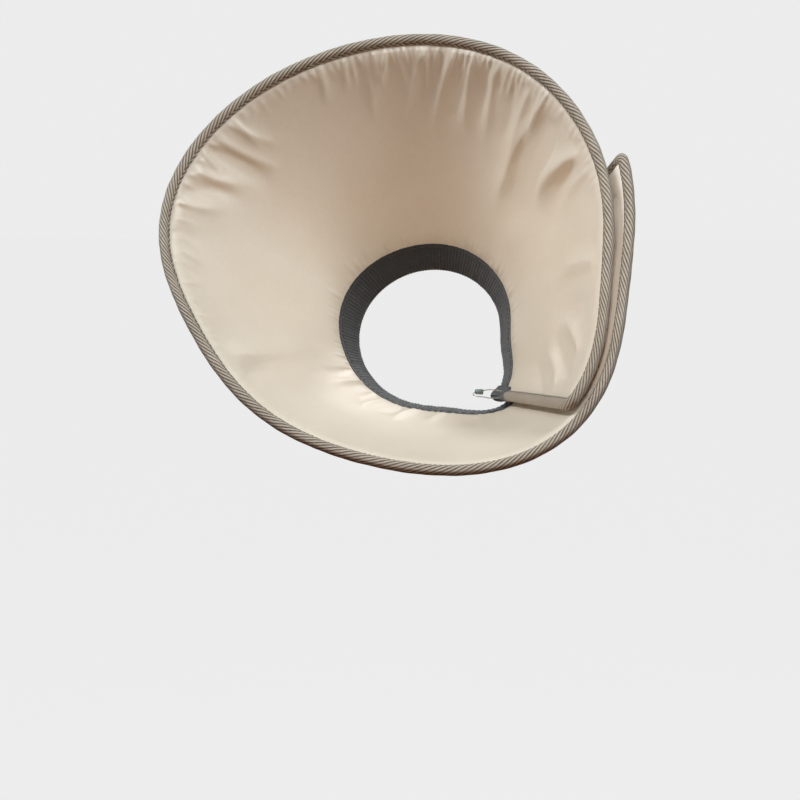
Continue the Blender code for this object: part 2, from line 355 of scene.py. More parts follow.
def satin(name, light, dark, roughness, weave=0.45 * MM):
    """Satin-faced woven cloth: fine twill lines, soft blotches, little slubs."""
    made, n, shader = new_material(name)
    u, v = n.uv()
    fine = n.noise(420.0, 3.0, 0.6)
    thread_wise = n.add("CombineXYZ")
    n.put(thread_wise.inputs, (n.times(u, 260.0), n.times(v, 2600.0)))
    slub = n.noise(1.0, 2.0, 0.6, thread_wise.outputs[0])
    tone = n.fit(fine, 0.35, n.times(n.noise(26.0, 3.0, 0.55), 0.65))
    tone = n.fit(slub, 0.22, tone)
    warp, weft = n.wave(n.fit(v, 0.5, u), weave), n.wave(v, weave * 1.15)
    cloth = n.bump(n.fit(warp, 0.7, n.times(weft, 0.3)), 0.05 * MM, 0.6)
    n.dress(shader, {
        "Base Color": n.ramp(tone, (0.36, dark), (0.74, light)),
        "Roughness": n.fit(fine, 0.14, roughness - 0.07),
        "Normal": n.bump(n.noise(150.0, 4.0, 0.55), 0.35 * MM, 0.5, cloth),
        "Sheen Weight": 0.10,
        "Sheen Roughness": 0.4,
        "Sheen Tint": (1.0, 0.95, 0.87, 1.0),
        "Specular IOR Level": 0.5,
    })
    return made


TAPE_RIB = 4.05 * MM
TAPE_SLOPE = 2.1
TAPE_TURN = 5.8 * MM


def herringbone(name):
    """Twill tape: long slanting ribs over its fold, which turn back near the hem on both faces."""
    made, n, shader = new_material(name)
    u, v = n.uv()
    u = n.math("ADD", u, n.times(n.math("SUBTRACT", n.noise(90.0, 2.0), 0.5), 0.9 * MM))
    held = n.math("MAXIMUM", n.math("MINIMUM", v, TAPE_TURN), -TAPE_TURN)
    slanted = n.fit(n.math("SUBTRACT", n.times(held, 2.0), v), -TAPE_SLOPE, u)
    rib = n.times(n.math("POWER", n.wave(slanted, TAPE_RIB), 0.75), 0.78)
    height = n.fit(n.wave(slanted, TAPE_RIB / 3), 0.22, rib)
    speck, blotch = n.noise(900.0, 3.0, 0.7), n.noise(45.0, 3.0, 0.6)
    tone = n.fit(blotch, 0.16, n.fit(height, 0.62, n.times(speck, 0.30)))
    shade, middle, light = (0.095, 0.068, 0.049), (0.31, 0.244, 0.182), (0.66, 0.56, 0.448)
    color = n.ramp(tone, (0.30, shade), (0.54, middle), (0.86, light))
    # The fold itself wears a little paler. The hem's turned-under edge is painted dark brown: partly the
    # thread that sews it down, partly painted shade where the tape meets the lining.
    side = n.math("ABSOLUTE", v)
    worn = n.times(n.math("LESS_THAN", side, 1.2 * MM), n.times(blotch, 0.35))
    sewn = n.times(n.math("GREATER_THAN", side, 7.6 * MM), 0.8)
    color = n.mix(sewn, n.mix(worn, color, (0.42, 0.37, 0.30)), (0.105, 0.066, 0.042))
    n.dress(shader, {
        "Base Color": color,
        "Roughness": n.fit(speck, 0.2, 0.68),
        "Normal": n.bump(speck, 0.18 * MM, 0.6, n.bump(height, 0.3 * MM, 0.9)),
        "Sheen Weight": 0.25,
        "Sheen Roughness": 0.5,
        "Sheen Tint": (0.85, 0.82, 0.75, 1.0),
        "Specular IOR Level": 0.25,
    })
    return made


def knit(name):
    """Charcoal ribbed knit: small chained loops down every rib, lint on top."""
    made, n, shader = new_material(name)
    u, v = n.uv()
    lean = n.math("ABSOLUTE", n.math("SUBTRACT", n.math("PINGPONG", u, 0.5 * MM), 0.25 * MM))
    loops = n.wave(n.math("ADD", v, n.times(lean, 1.4)), 0.85 * MM)
    fuzz = n.noise(1100.0, 3.0, 0.7)
    lint = n.math("GREATER_THAN", n.noise(300.0, 4.0, 0.75), 0.66)
    tone = n.fit(loops, 0.45, n.times(fuzz, 0.5))
    color = n.ramp(tone, (0.25, (0.010, 0.009, 0.009)), (0.8, (0.075, 0.068, 0.064)))
    n.dress(shader, {
        "Base Color": n.mix(n.times(lint, 0.35), color, (0.22, 0.19, 0.17)),
        "Roughness": n.fit(fuzz, 0.15, 0.8),
        "Normal": n.bump(fuzz, 0.22 * MM, 0.7, n.bump(loops, 0.3 * MM, 0.8)),
        "Sheen Weight": 0.5,
        "Sheen Roughness": 0.55,
        "Specular IOR Level": 0.2,
    })
    return made


def thread(name, light, dark):
    """Twisted sewing thread."""
    made, n, shader = new_material(name)
    twist = n.noise(1600.0, 2.0, 0.6)
    n.dress(shader, {
        "Base Color": n.ramp(twist, (0.35, dark), (0.7, light)),
        "Roughness": 0.55,
        "Normal": n.bump(twist, 0.08 * MM, 0.7),
        "Sheen Weight": 0.2,
    })
    return made


def foam(name):
    """Open-cell wadding."""
    made, n, shader = new_material(name)
    cell = n.add("TexVoronoi")
    n.dress(cell, {"Scale": 900.0, "Vector": n.add("TexCoord").outputs["Object"]})
    n.dress(shader, {
        "Base Color": n.ramp(n.noise(60.0, 3.0), (0.3, (0.70, 0.68, 0.62)), (0.7, (0.86, 0.85, 0.80))),
        "Roughness": 0.95,
        "Normal": n.bump(cell.outputs["Distance"], 0.4 * MM, 0.8),
    })
    return made


def webbing(name, light, dark, pile=0.0):
    """Woven band: ribs across it, flecked yarn; pile makes it fuzzy loop tape."""
    made, n, shader = new_material(name)
    u, v = n.uv()
    rib = n.times(n.wave(u, 0.7 * MM), n.wave(v, 1.12 * MM))
    fuzz = n.noise(700.0 if pile else 1300.0, 4.0, 0.75)
    height = n.fit(rib, 0.6 * (1.0 - pile), n.times(fuzz, 0.4 + 0.6 * pile))
    n.dress(shader, {
        "Base Color": n.ramp(height, (0.2, dark), (0.75, light)),
        "Roughness": n.fit(fuzz, 0.2, 0.7),
        "Normal": n.bump(height, (0.2 + 0.6 * pile) * MM, 0.8),
        "Sheen Weight": 0.3 + 0.5 * pile,
        "Specular IOR Level": 0.25,
    })
    return made


def moulded(name, light, dark, roughness):
    """Moulded plastic with a fine spark finish and a few handling marks."""
    made, n, shader = new_material(name)
    marks = n.noise(500.0, 4.0, 0.7)
    n.dress(shader, {
        "Base Color": n.ramp(marks, (0.3, dark), (0.7, light)),
        "Roughness": n.fit(marks, 0.25, roughness - 0.1),
        "Normal": n.bump(n.noise(2600.0, 3.0, 0.6), 0.05 * MM, 0.6),
    })
    return made


def nylon(name):
    """Clear nylon line, slightly milky."""
    made, n, shader = new_material(name)
    haze = n.noise(900.0, 3.0, 0.6)
    n.dress(shader, {
        "Base Color": n.ramp(haze, (0.3, (0.80, 0.76, 0.66)), (0.7, (0.96, 0.94, 0.90))),
        "Roughness": n.fit(haze, 0.2, 0.12),
        "Normal": n.bump(haze, 0.03 * MM, 0.5),
        "Transmission Weight": 0.55,
        "IOR": 1.5,
    })
    return made


LINING = satin("lining_satin", (0.83, 0.715, 0.58), (0.78, 0.655, 0.515), 0.36)
SHELL = satin("shell_satin", (0.66, 0.575, 0.465), (0.57, 0.490, 0.385), 0.58, 0.6 * MM)
TAPE = herringbone("herringbone_tape")
KNIT = knit("charcoal_knit_rib")
TAPE_THREAD = thread("brown_thread", (0.16, 0.12, 0.09), (0.06, 0.045, 0.03))
DARK_THREAD = thread("black_thread", (0.05, 0.045, 0.04), (0.015, 0.013, 0.012))
FOAM = foam("white_wadding")
ELASTIC = webbing("knitted_elastic", (0.80, 0.78, 0.74), (0.55, 0.53, 0.50))
HOOK = webbing("hook_tape_base", (0.40, 0.34, 0.28), (0.20, 0.165, 0.13))
LOOP = webbing("loop_tape_pile", (0.46, 0.40, 0.33), (0.24, 0.20, 0.16), pile=1.0)
PLASTIC = moulded("grey_green_plastic", (0.24, 0.30, 0.26), (0.15, 0.195, 0.165), 0.38)
HOOK_PLASTIC = moulded("hook_plastic", (0.42, 0.36, 0.30), (0.27, 0.22, 0.18), 0.5)
NYLON = nylon("clear_nylon_line")


# ---------- cloth layout

EDGE_INSET = 2.8 * MM
LINING_IN = 17.2 * MM


def smooth(low, high, value):
    t = np.clip((value - low) / (high - low), 0.0, 1.0)
    return t * t * (3.0 - 2.0 * t)


def bell(value, middle, width):
    return np.exp(-(((value - middle) / width) ** 2))


def corner_drop(distance, corner, inset):
    """How far a rounded corner lowers the rim end of a column at a distance from the free end."""
    radius = corner - inset
    missing = np.clip(corner - distance, 0.0, radius)
    return radius - np.sqrt(np.maximum(0.0, radius ** 2 - missing ** 2))


def whole_layout(spacing, rows, inset, first):
    """Azimuths and slants of a layer's grid from one free end to the other."""
    reach = math.radians(PANEL_TURN) * RIM_RADIUS
    share = np.linspace(0.0, 1.0, int(reach / spacing) + 1)[:, None]
    along = np.linspace(0.0, 1.0, rows)[None, :]
    drop = corner_drop(inset + reach * share, OUTER_CORNER, inset)
    drop = drop + corner_drop(inset + reach * (1.0 - share), INNER_CORNER, inset)
    slant = first + (SLANT - inset - drop - first) * along
    near = from_end(0.0, inset, slant)
    far = from_end(PANEL_TURN, inset, slant)
    return near + (far - near) * share, slant


def parts(azimuth):
    """The slices of a whole layer's columns that make its three pieces, with shared seam columns."""
    turns = azimuth.mean(axis=1)
    cuts = [0] + [int(np.argmin(np.abs(turns - seam))) for seam in SEAMS] + [len(turns) - 1]
    return [slice(first, last + 1) for first, last in zip(cuts, cuts[1:])]


def edge_distance(azimuth, slant):
    """Distance along the cloth to the nearest of the rim and the two free ends."""
    first = np.radians(azimuth) * panel_radius(0.0, slant)
    last = np.radians(PANEL_TURN - azimuth) * panel_radius(PANEL_TURN, slant)
    return np.minimum(SLANT - slant, np.minimum(first, last))


# Folds of the lining, each laid from one panel point to another: azimuth and slant in mm at both
# ends, half-width in mm, and height towards the wearer in mm (less than nothing is a dent).
FOLDS = (
    # left side
    (243, 147, 251, 112, 3.0, 1.6), (239, 142, 247, 100, 3.2, 1.9), (236, 142, 241, 100, 4.0, -3.2),
    (229.5, 142, 236, 108, 3.4, 2.6), (223, 144, 233, 110, 3.4, -3.0), (220, 146, 227, 112, 3.2, 2.2),
    (213, 146, 213, 122, 2.4, -1.8), (208.5, 147, 206, 124, 2.2, 1.6), (203, 146, 200, 128, 2.2, -1.2),
    # top
    (286.5, 144, 277, 104, 3.0, 1.4), (295.5, 144, 287, 92, 3.0, 1.7), (299.5, 144, 292, 96, 2.8, -1.4),
    (303, 144, 297, 86, 3.4, 1.9), (305.5, 143, 303.5, 98, 2.6, -1.5), (308.5, 143, 308.5, 88, 3.2, 1.8),
    (312, 143, 312.5, 100, 2.6, -1.4), (315.5, 142, 317, 90, 3.2, 1.8), (321, 142, 322, 94, 3.0, -1.5),
    (327, 139, 328.5, 86, 3.4, 1.8),
    # upper right
    (330, 130, 326, 74, 4.0, -1.9), (333, 140, 328, 50, 5.0, 3.4), (339, 132, 339, 52, 8.5, -3.4),
    (353.5, 138, 343, 74, 7.0, 4.4), (350.5, 142, 361, 76, 6.0, -2.0), (361, 140, 360, 98, 4.0, 1.5),
    # beside the inner end
    (392, 138, 384, 84, 7.0, 1.8), (404, 130, 397, 76, 7.0, -1.5), (418, 128, 404, 92, 4.6, 1.8),
    (425, 124, 409, 84, 4.4, -1.8), (428, 112, 413, 72, 4.2, 2.0), (429, 92, 417, 60, 3.6, -1.4),
    # lower left, broad
    (172, 136, 186, 46, 11.0, 1.5), (165, 132, 176, 54, 10.0, -1.1),
    # outer lap, under its tape
    (5, 142, 1, 118, 2.4, 1.2), (12, 142, 7, 120, 2.6, -1.6), (19, 142, 13, 120, 2.8, 1.6),
    (28, 142, 22, 120, 2.8, -1.3), (40, 142, 34, 120, 3.2, 1.2),
    # from the cuff
    (120, 24, 126, 62, 3.4, 1.8), (129, 22, 134, 56, 3.0, -1.5), (139, 22, 141, 66, 3.2, 1.6),
    (150, 22, 149, 52, 3.0, -1.4), (160, 22, 158, 60, 3.4, 1.6), (172, 22, 168, 54, 3.0, -1.4),
    (104, 22, 112, 54, 3.0, 1.3), (92, 24, 96, 58, 3.4, -1.3),
)


def fold_height(azimuth, slant):
    """Height of the long soft folds, in metres."""
    total = np.zeros(np.broadcast(azimuth, slant).shape)
    for az0, s0, az1, s1, width, height in FOLDS:
        # x runs along the cloth from the fold's middle azimuth, y up it from the fold's start.
        middle = (az0 + az1) / 2
        x, x0, x1 = (np.radians(az - middle) * panel_radius(middle, s)
                     for az, s in ((azimuth, slant), (az0, s0 * MM), (az1, s1 * MM)))
        x, y = x - x0, slant - s0 * MM
        reach = (x1 - x0, (s1 - s0) * MM)
        length = math.hypot(*reach)
        t = (x * reach[0] + y * reach[1]) / length ** 2
        off = (x * reach[1] - y * reach[0]) / length
        bow = 0.05 * length * np.sin(np.pi * np.clip(t, 0.0, 1.0)) * (1 if height > 0 else -1)
        spread = width * MM * (0.55 + 0.75 * np.clip(t, 0.0, 1.0))
        crest = np.exp(-np.abs((off - bow) / spread) ** 1.6)
        total += height * MM * crest * smooth(-0.06, 0.10, t) * (1.0 - smooth(0.50, 1.05, t))
    return total


def gather_strength(azimuth):
    """How closely the lining is gathered into the rim tape, 0 to 1: most at the top and on the left."""
    clock = PANEL_START + azimuth
    strength = bell(clock, 364.0, 37.0) + 0.15 * bell(clock, 425.0, 30.0) + 0.35 * bell(clock, 285.0, 28.0)
    return np.clip(0.10 + strength, 0.0, 1.0)


def gather_height(azimuth, slant):
    """Height of the small gathers under the rim tape and beside the cuff, in metres."""
    rng = np.random.default_rng(11)
    total = np.zeros(np.broadcast(azimuth, slant).shape)
    radius = panel_radius(azimuth, slant)
    place = 3.0
    depth = SLANT - 7.0 * MM - slant
    while place < PANEL_TURN - 3.0:
        strength = float(gather_strength(np.array(place)))
        width = rng.uniform(0.8, 1.7) * MM
        length = rng.uniform(7.0, 22.0) * MM * (1.0 + 2.2 * strength * rng.random() ** 2)
        if place > 325.0:
            length *= 0.5
        height = rng.uniform(0.7, 2.1) * MM * strength
        lean = rng.uniform(-0.22, 0.22)
        spread = width * (1.0 + 0.9 * np.clip(depth / length, 0.0, 1.0))
        near = np.abs(azimuth - place) < 5.0
        off = np.where(near, np.radians(azimuth - place) * radius - lean * depth, 1.0)
        fade = smooth(-1.5 * MM, 1.5 * MM, depth) * (1.0 - smooth(0.15, 1.0, depth / length))
        total += height * bell(off, 0.0, spread) * fade * near
        place += (1.25 + 0.55 * rng.random()) / max(0.35, strength) ** 0.5
    # Smaller, shorter gathers where the cuff is sewn on.
    place = 2.0
    depth = slant - CUFF_WIDTH
    while place < PANEL_TURN - 2.0:
        width = rng.uniform(0.9, 1.8) * MM
        length = rng.uniform(5.0, 18.0) * MM
        height = rng.uniform(0.2, 0.7) * MM
        near = np.abs(azimuth - place) < 9.0
        off = np.where(near, np.radians(azimuth - place) * radius, 1.0)
        fade = smooth(-1.0 * MM, 2.0 * MM, depth) * (1.0 - smooth(0.2, 1.0, depth / length))
        total += height * bell(off, 0.0, width) * fade * near
        place += rng.uniform(3.0, 5.5)
    return total


def soft_waves(azimuth, slant, seed, height):
    """Broad slow unevenness of stuffed cloth."""
    rng = np.random.default_rng(seed)
    total = np.zeros(np.broadcast(azimuth, slant).shape)
    turn = np.radians(azimuth)
    for _ in range(14):
        count = rng.integers(5, 26)
        climb = rng.uniform(-1.0, 1.0) * 60.0
        total += np.sin(count * turn + climb * slant + rng.uniform(0, 2 * math.pi)) / math.sqrt(count)
    return height * total / 2.0


def face_level(edge):
    """How far a cloth's flat face is from the panel's middle: less within the tape."""
    return (1.25 + 0.8 * smooth(5.0 * MM, 13.0 * MM, edge)) * MM


def beyond_cuff(slant):
    """0 at the cuff, 1 where the padding has its full thickness."""
    return smooth(CUFF_WIDTH - 1.0 * MM, CUFF_WIDTH + 9.0 * MM, slant)


def lining_rest(azimuth, slant):
    """Offset of the lining's face before it creases, puffed out by the padding between its edges."""
    edge = edge_distance(azimuth, slant)
    return -face_level(edge) - 0.85 * MM * smooth(4.4 * MM, 9.0 * MM, edge) * beyond_cuff(slant)


def looseness(azimuth, slant):
    """0 where the lining is sewn down, 1 where it is free to crease."""
    free = smooth(5.4 * MM, 7.8 * MM, edge_distance(azimuth, slant))
    return free * smooth(CUFF_WIDTH, CUFF_WIDTH + 3.0 * MM, slant)


def evened(height, axis):
    """One pass of smoothing along an axis, with the ends held to their own value."""
    padded = np.pad(height, [(int(k == axis),) * 2 for k in (0, 1)], mode="edge")
    count = height.shape[axis]
    before, after = (np.take(padded, range(first, first + count), axis) for first in (0, 2))
    return 0.5 * height + 0.25 * (before + after)


SIMULATED_FRAMES = 24


def simulate_lining():
    """Cloth simulation of the lining: cut a little too long round the cone, sewn down at its edges.

    It gives the creases' height towards the wearer over a coarse layout of the lining."""
    azimuth, slant = whole_layout(2.8 * MM, 48, EDGE_INSET, LINING_IN)
    columns, rows = azimuth.shape
    rng = np.random.default_rng(7)
    base = on_panel(azimuth, slant, lining_rest(azimuth, slant))
    normal = on_panel(azimuth, slant, -1.0 * MM) - on_panel(azimuth, slant, 0.0)
    normal /= np.linalg.norm(normal, axis=2)[..., None]
    free = looseness(azimuth, slant)
    seed = 0.8 * fold_height(azimuth, slant) + 0.5 * gather_height(azimuth, slant)
    seed = seed + 0.03 * MM * rng.standard_normal(azimuth.shape)
    start = base + normal * (seed * free)[..., None]
    cloth = grid_mesh("lining_cloth", start[:, ::-1], np.zeros((columns, rows, 2)), LINING)
    # The cut: the fan unrolled flat, with some length to spare where it is gathered.
    turns = azimuth.mean(axis=1)
    spare = 1.0 + 0.012 + 0.05 * gather_strength(turns)
    cut = np.zeros((columns, rows, 3))
    foot, heading = np.zeros(2), 0.0
    for column in range(columns):
        ray = np.array([math.sin(heading), math.cos(heading)])
        cut[column, :, :2] = foot + ray * slant[column][:, None]
        if column + 1 < columns:
            step = math.radians(turns[column + 1] - turns[column]) * spare[column]
            angle = float(half_angle(turns[column]))
            across = step * float(panel_radius(turns[column], 0.0))
            foot = foot + np.array([math.cos(heading), -math.sin(heading)]) * across
            heading += step * math.sin(angle)
    cloth.shape_key_add(name="worn")
    flat = cloth.shape_key_add(name="cut")
    flat.data.foreach_set("co", cut[:, ::-1].astype(np.float32).ravel())
    pins = cloth.vertex_groups.new(name="sewn")
    held = (1.0 - smooth(0.0, 0.6, free))[:, ::-1].ravel()
    for index in np.nonzero(held > 0.01)[0]:
        pins.add([int(index)], float(held[index]), "REPLACE")
    modifier = cloth.modifiers.new("cloth", "CLOTH")
    fabric = dict(
        quality=7, mass=0.15, air_damping=4.0, tension_stiffness=30.0, compression_stiffness=30.0,
        shear_stiffness=8.0, bending_stiffness=2.0, tension_damping=12.0, compression_damping=12.0,
        bending_damping=0.5, vertex_group_mass="sewn", rest_shape_key=flat, use_pressure=True,
        uniform_pressure_force=0.6,
    )
    for key, value in fabric.items():
        setattr(modifier.settings, key, value)
    modifier.settings.effector_weights.gravity = 0.0
    modifier.collision_settings.use_collision = False
    modifier.point_cache.frame_start = 1
    modifier.point_cache.frame_end = SIMULATED_FRAMES
    scene = bpy.context.scene
    for step in range(1, SIMULATED_FRAMES + 1):
        scene.frame_set(step)
    result = cloth.evaluated_get(bpy.context.evaluated_depsgraph_get())
    found = np.empty(columns * rows * 3, np.float32)
    result.data.vertices.foreach_get("co", found)
    scene.frame_set(1)
    moved = found.reshape(columns, rows, 3)[:, ::-1].astype(float) - base
    bpy.data.objects.remove(cloth)
    height = (moved * normal).sum(axis=2)
    # Creases run up the cone: even them out along the slant, and only a little across it.
    for axis in (1,) * 8 + (0,) * 2:
        height = evened(height, axis)
    height = np.clip(height, -1.2 * MM, 4.0 * MM)
    print("lining cloth: creases from %.2f to %.2f mm" % (height.min() / MM, height.max() / MM))
    return height


def spread_over(height, columns, rows):
    """The simulated heights over a finer whole layout, by cubic interpolation."""

    def stretch(values, count):
        place = np.linspace(0.0, len(values) - 1.0, count)
        base = np.clip(np.floor(place).astype(int), 0, len(values) - 2)
        t = (place - base)[:, None]
        a, b, c, d = (values[np.clip(base + k, 0, len(values) - 1)] for k in (-1, 0, 1, 2))
        return b + 0.5 * t * (c - a + t * (2 * a - 5 * b + 4 * c - d + t * (3 * (b - c) + d - a)))

    return stretch(stretch(height, columns).T, rows).T


DEEPEST_DENT = 1.5 * MM


def lining_level(azimuth, slant, creases):
    """Offset of the lining's face with its creases."""
    edge = edge_distance(azimuth, slant)
    held = smooth(9.0 * MM, 24.0 * MM, edge)
    # The outer lap's padding swells out beside its rim, where the inner lap doesn't press on it.
    swell = smooth(5.0 * MM, 13.0 * MM, edge) * (1.0 - smooth(15.0 * MM, 29.0 * MM, SLANT - slant))
    creases = creases + 3.4 * MM * swell * (1.0 - smooth(45.0, 75.0, azimuth))
    bumps = creases + gather_height(azimuth, slant) + soft_waves(azimuth, slant, 5, 0.25 * MM) * held
    bumps = bumps * looseness(azimuth, slant)
    # A dent stops softly on the padding.
    bumps = np.where(bumps < 0.0, DEEPEST_DENT * np.tanh(bumps / DEEPEST_DENT), bumps)
    return lining_rest(azimuth, slant) - bumps


def shell_offset(azimuth, slant):
    """Offset of the outer shell's face."""
    edge = edge_distance(azimuth, slant)
    puff = 0.8 * MM * smooth(5.5 * MM, 10.0 * MM, edge)
    uneven = soft_waves(azimuth, slant, 9, 0.4 * MM) + soft_waves(azimuth * 2.3, slant, 12, 0.16 * MM)
    return face_level(edge) + (puff + uneven * smooth(8.0 * MM, 24.0 * MM, edge)) * beyond_cuff(slant)


def arc_uv(azimuth, slant):
    """Woven coordinates of panel points, in metres."""
    return np.stack([np.radians(azimuth) * (NECK_RADIUS + 0.6 * SLANT), slant + 0.0 * azimuth], axis=-1)


def cut_area(azimuth, slant):
    """Flat size and cut area of a fan-shaped piece of the panel."""
    smooth_face = on_panel(azimuth, slant)
    across = smooth_face[1:, 1:] - smooth_face[:-1, :-1]
    down = smooth_face[1:, :-1] - smooth_face[:-1, 1:]
    area = float(np.linalg.norm(np.cross(across, down), axis=2).sum() / 2)
    outer = float(np.linalg.norm(np.diff(smooth_face[:, -1], axis=0), axis=1).sum())
    return area, outer, float(slant.max() - slant.min())


def closed_ends(piece):
    """Fills the open ends of a padded or folded piece."""
    caps = bmesh.new()
    caps.from_mesh(piece.data)
    bmesh.ops.holes_fill(caps, edges=[edge for edge in caps.edges if edge.is_boundary])
    bmesh.ops.recalc_face_normals(caps, faces=caps.faces)
    caps.to_mesh(piece.data)
    caps.free()


def sheets(layer, azimuth, slant, offset, material, way):
    """The three pieces of a layer of cloth, facing outwards (1) or inwards (-1)."""
    points, coat = on_panel(azimuth, slant, offset), arc_uv(azimuth, slant)
    for stretch, part in zip(STRETCHES, parts(azimuth)):
        cloth = grid_mesh(layer + "_" + stretch[0], points[part, ::way], coat[part, ::way], material)
        keep(cloth, stretch, layer)
        area, width, depth = cut_area(azimuth[part], slant[part])


azimuth, slant = whole_layout(1.1 * MM, 124, EDGE_INSET, LINING_IN)
creases = fold_height(azimuth, slant)
creases = 0.6 * creases + spread_over(simulate_lining(), *azimuth.shape)
sheets("lining", azimuth, slant, lining_level(azimuth, slant, creases), LINING, -1)

azimuth, slant = whole_layout(1.6 * MM, 84, EDGE_INSET, LINING_IN)
sheets("outer_shell", azimuth, slant, shell_offset(azimuth, slant), SHELL, 1)

PADDING_INSET = 11.0 * MM
azimuth, slant = whole_layout(4.0 * MM, 36, PADDING_INSET, 19.5 * MM)
edge = edge_distance(azimuth, slant)
thick = 0.25 * MM + 0.95 * MM * smooth(PADDING_INSET, PADDING_INSET + 4.0 * MM, edge)
thick = thick * (1.0 + 0.12 * soft_waves(azimuth, slant, 3, 1.0))
ring = np.concatenate([on_panel(azimuth, slant, -thick), on_panel(azimuth, slant, thick)[:, ::-1]], axis=1)
coat = arc_uv(azimuth, slant)
coat = np.concatenate([coat, coat[:, ::-1]], axis=1)
for stretch, part in zip(STRETCHES, parts(azimuth)):
    pad = grid_mesh("padding_" + stretch[0], ring[part], coat[part], FOAM, closed=True)
    closed_ends(pad)
    keep(pad, stretch, "padding")

# ---------- rim and end tape

# Half of the folded tape's cross-section, from its hem to its fold: distance in from the edge and
# offset, in mm.  The dip holds the stitching.
HALF_FOLD = (
    (5.86, 1.60), (6.00, 1.95), (5.93, 2.28), (5.68, 2.46), (5.32, 2.44), (4.95, 2.32), (4.62, 2.42),
    (4.28, 2.62), (3.80, 2.80), (3.25, 2.90), (2.65, 2.88), (2.05, 2.70), (1.50, 2.38), (1.00, 1.92),
    (0.60, 1.32), (0.28, 0.66),
)
STITCH_IN = 4.95 * MM


def tape_stations(stretch, spacing):
    """Stations along the edge: each gives panel points from distances inwards."""
    low, high = stretch[1:3]

    def rim(turn):
        return lambda across: (turn, SLANT - across)

    def round_corner(free_end, corner, turned):
        def place(across):
            radius = corner - across
            slant = SLANT - corner + radius * math.cos(turned)
            return from_end(free_end, corner - radius * math.sin(turned), slant), slant
        return place

    def straight_end(free_end, slant):
        return lambda across: (from_end(free_end, across, slant), slant)

    def end_stations(free_end, corner):
        """From the corner to just inside the cuff."""
        corner_steps = 12
        turns = [math.radians(90 * step / corner_steps) for step in range(1, corner_steps + 1)]
        reach = SLANT - corner - CUFF_WIDTH + 2.0 * MM
        steps = int(reach / spacing)
        slants = [SLANT - corner - reach * step / steps for step in range(1, steps + 1)]
        round_part = [round_corner(free_end, corner, turn) for turn in turns]
        return round_part + [straight_end(free_end, slant) for slant in slants]

    first, last = [], []
    if low == 0.0:
        low = float(from_end(0.0, OUTER_CORNER, SLANT))
        first = end_stations(0.0, OUTER_CORNER)[::-1]
    if high == PANEL_TURN:
        high = float(from_end(PANEL_TURN, INNER_CORNER, SLANT))
        last = end_stations(PANEL_TURN, INNER_CORNER)
    count = int(math.radians(high - low) * RIM_RADIUS / spacing)
    return first + [rim(low + (high - low) * i / count) for i in range(count + 1)] + last


def cycle(distance, period, phase=0.0):
    return np.sin(distance / period * 2 * math.pi + phase)[:, None]


tape_across, tape_offset, tape_reach = whole_fold(HALF_FOLD, 0.08)
tape_reach = tape_reach - tape_reach[len(HALF_FOLD)]
run_so_far = 0.0
for stretch in STRETCHES:
    name = stretch[0]
    stations = tape_stations(stretch, 1.2 * MM)
    points = np.array([on_panel(*place(tape_across), tape_offset) for place in stations])
    steps = np.linalg.norm(np.diff(points[:, len(HALF_FOLD)], axis=0), axis=1)
    run = np.concatenate([[0.0], np.cumsum(steps)])
    uv = np.stack(np.broadcast_arrays(run[:, None] + run_so_far, tape_reach[None, :]), axis=-1)
    run_so_far += run[-1]
    # The tape is a little uneven, pulled in at its stitches.
    sway = 0.10 * MM * cycle(run, 2.9 * MM) * bell(np.abs(tape_reach), 5.6 * MM, 0.9 * MM)[None, :]
    slow = 0.12 * MM * cycle(run, 19.0 * MM) * cycle(run, 47.0 * MM, 1.0)
    normal = np.cross(np.gradient(points, axis=0), np.gradient(points, axis=1))
    normal /= np.linalg.norm(normal, axis=2)[..., None]
    tape = grid_mesh("edge_tape_" + name, points - normal * (sway + slow)[..., None], uv, TAPE)
    keep(tape, stretch, "edge_tape")
    # Its stitches, on both faces.
    spots = [place(STITCH_IN) for place in tape_stations(stretch, 0.725 * MM)]
    blocks = [stitch(spots[index:index + 4], side, 2.38, 0.14, 0.20)
              for side in (-1, 1) for index in range(2, len(spots) - 6, 4)]
    stitches = joined_mesh("tape_stitches_" + name, blocks, TAPE_THREAD)
    blended(stitches, stretch)

# ---------- knitted cuff

# Halves of the cuff's and the tabs' cross-sections, as HALF_FOLD.
CUFF_HALF = (
    (18.9, 1.75), (19.0, 2.15), (18.7, 2.50), (18.0, 2.62), (17.0, 2.50), (16.2, 2.34), (15.4, 2.48),
    (14.0, 2.62), (12.0, 2.66), (10.0, 2.66), (8.0, 2.64), (6.0, 2.60), (4.4, 2.50), (3.0, 2.25),
    (1.9, 1.80), (1.1, 1.25), (0.5, 0.66),
)
cuff_across, cuff_offset, cuff_reach = whole_fold(CUFF_HALF, 0.25)
RIB = 1.9 * MM
CUFF_STITCH_IN = 16.3 * MM
ELASTIC_HALF = ((3.2, 0.55), (4.0, 0.68), (8.0, 0.70), (12.2, 0.68), (12.9, 0.55))
elastic_ring = [(across, -offset) for across, offset in ELASTIC_HALF] + list(ELASTIC_HALF[::-1])
elastic_across, elastic_offset = np.array(elastic_ring).T[:, None] * MM

